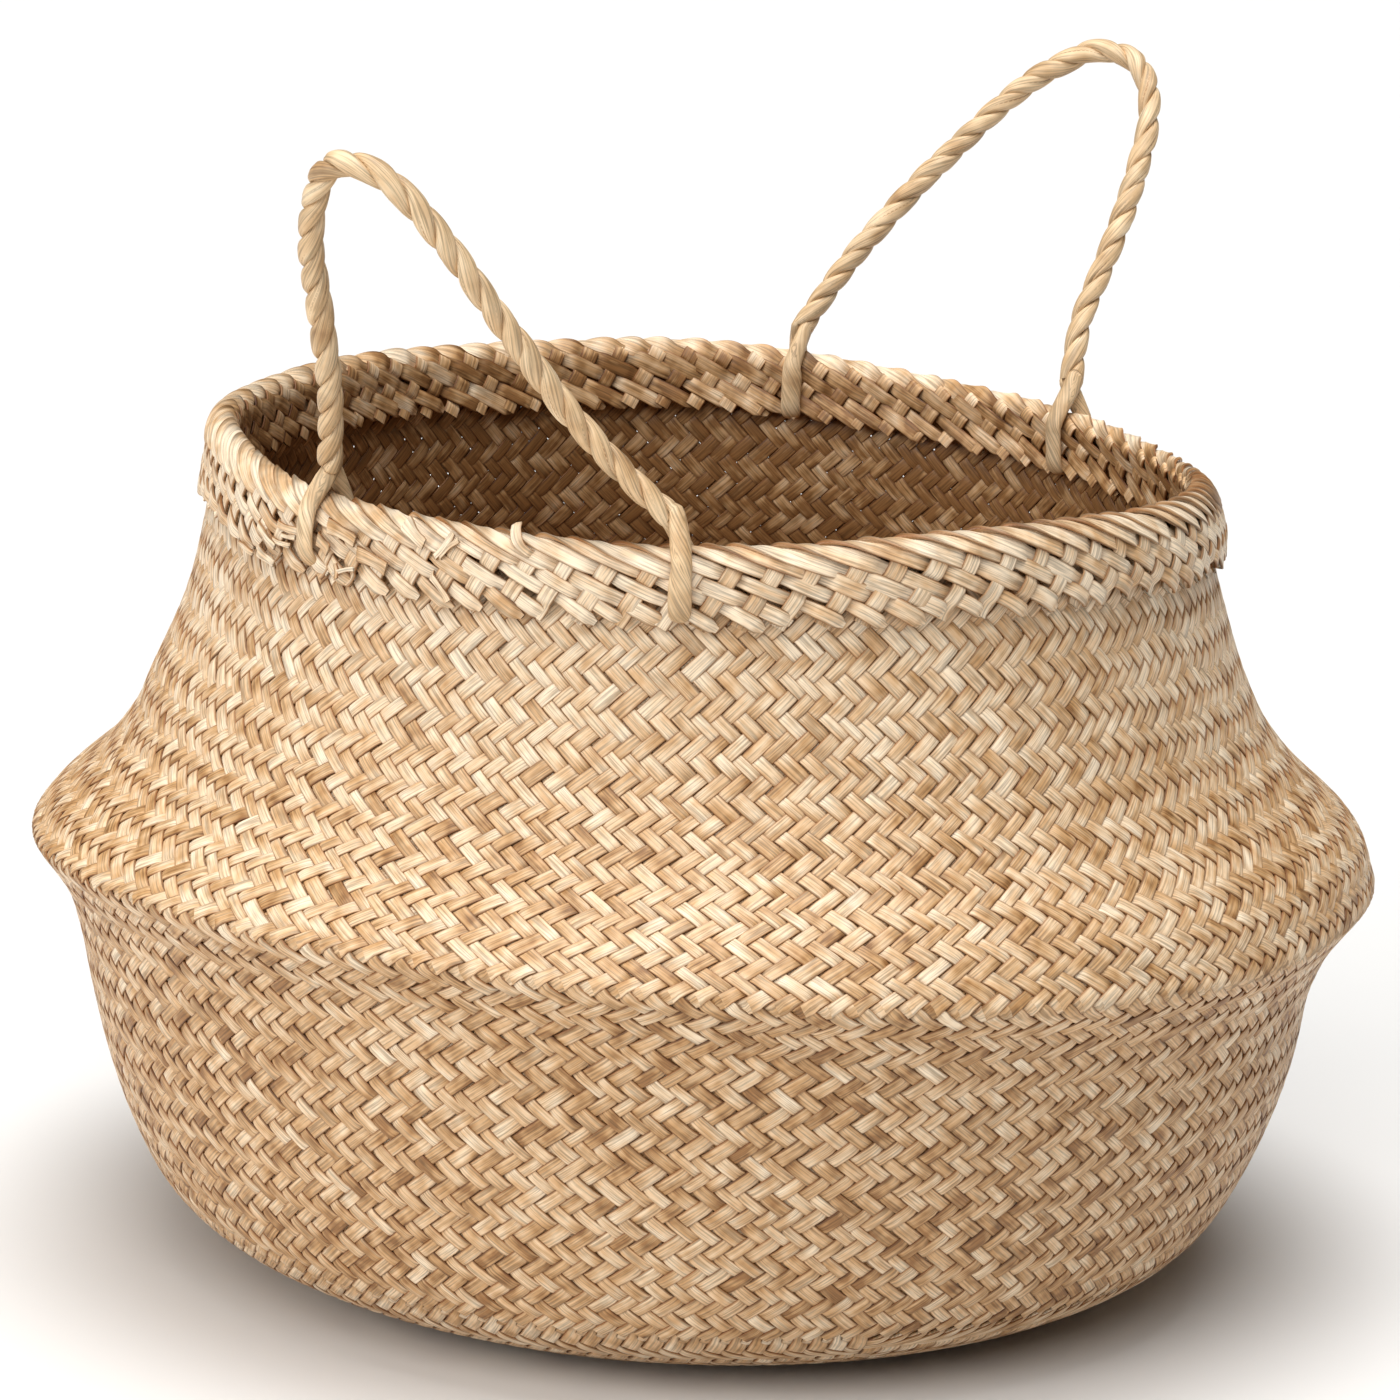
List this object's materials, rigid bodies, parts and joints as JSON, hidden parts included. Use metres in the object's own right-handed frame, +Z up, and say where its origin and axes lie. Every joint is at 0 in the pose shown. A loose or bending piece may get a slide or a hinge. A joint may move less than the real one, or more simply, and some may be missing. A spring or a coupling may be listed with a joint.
{
  "type": "storage basket",
  "caption": "Round seagrass belly basket with a narrower neck, a braided collar and two rope handles, whose top can be pushed down into its bowl.",
  "frame": {"origin": "middle of the flat face the basket stands on", "axes": "+Z up through the mouth, -Y towards the front handle, +Y towards the back handle"},
  "size_m": [0.34, 0.3501, 0.2984],
  "materials": {
    "plaited_wall": "dry plaited seagrass with a soft satin sheen, strips from cream to tan",
    "braided_collar": "dry braided seagrass, cream to tan with browner cut ends",
    "twisted_rope": "two-ply twisted seagrass rope, cream to straw"
  },
  "bodies": {
    "basket": {"base_mat": "plaited_wall", "base_turn_up": "plaited_wall", "lower_wall": "plaited_wall", "shoulder_wall": "plaited_wall"},
    "rim": {"neck_wall": "plaited_wall", "outer_collar": "braided_collar", "inner_collar": "braided_collar", "rim_border": "braided_collar", "outer_collar_tails": "braided_collar", "inner_collar_tails": "braided_collar", "front_handle_left_end": "twisted_rope", "front_handle_right_end": "twisted_rope", "back_handle_left_end": "twisted_rope", "back_handle_right_end": "twisted_rope"},
    "front_handle": {"front_handle_rope": "twisted_rope"},
    "back_handle": {"back_handle_rope": "twisted_rope"}
  },
  "joints": [
    {"name": "push_top_down", "type": "slide", "parent": "basket", "child": "rim", "axis": [0, 0, 1], "range_m": [-0.092, 0], "deforming": ["shoulder_wall"]},
    {"name": "front_handle_swing", "type": "hinge", "parent": "rim", "child": "front_handle", "pos_m": [0, -0.11995, 0.2122], "axis": [1, 0, 0], "range_deg": [-110, 50]},
    {"name": "back_handle_swing", "type": "hinge", "parent": "rim", "child": "back_handle", "pos_m": [0, 0.11995, 0.2122], "axis": [-1, 0, 0], "range_deg": [-114, 46]}
  ]
}
